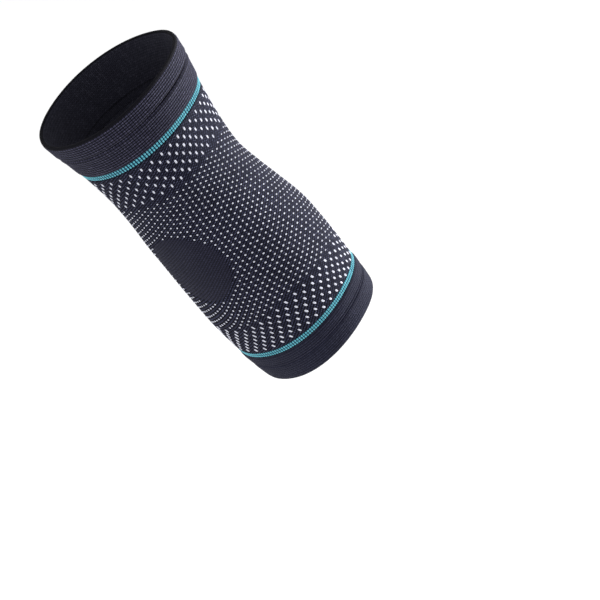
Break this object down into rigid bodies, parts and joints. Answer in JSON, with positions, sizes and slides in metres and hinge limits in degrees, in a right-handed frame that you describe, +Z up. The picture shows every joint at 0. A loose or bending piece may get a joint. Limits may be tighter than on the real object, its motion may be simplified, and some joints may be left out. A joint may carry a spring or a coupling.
{
  "type": "knitted elbow support sleeve",
  "caption": "Elastic knitted elbow sleeve in its worn form, with a plain oval panel at the elbow, a thin stripe and a doubled cuff at each end.",
  "frame": {"origin": "centre of the elbow inside the sleeve, on the arm's centre line and level with the middle of the oval panel", "axes": "+Z up the upper arm towards the shoulder; -Y out of the back of the elbow, through the oval panel; the forearm leans 8 degrees forward, to +Y; the sleeve is the same on both sides of the YZ plane"},
  "size_m": [0.105, 0.1048, 0.2244],
  "materials": {
    "cuff_knit": "dark navy rib knit with a slight sheen",
    "stripe_yarn": "teal knit stitches",
    "body_knit": "dark navy jacquard knit with white dots",
    "panel_knit": "dark navy plain knit"
  },
  "bodies": {
    "root": {"upper_cuff": "cuff_knit", "upper_stripe": "stripe_yarn", "sleeve_body": "body_knit", "elbow_panel": "panel_knit", "lower_stripe": "stripe_yarn", "lower_cuff": "cuff_knit"}
  },
  "joints": []
}
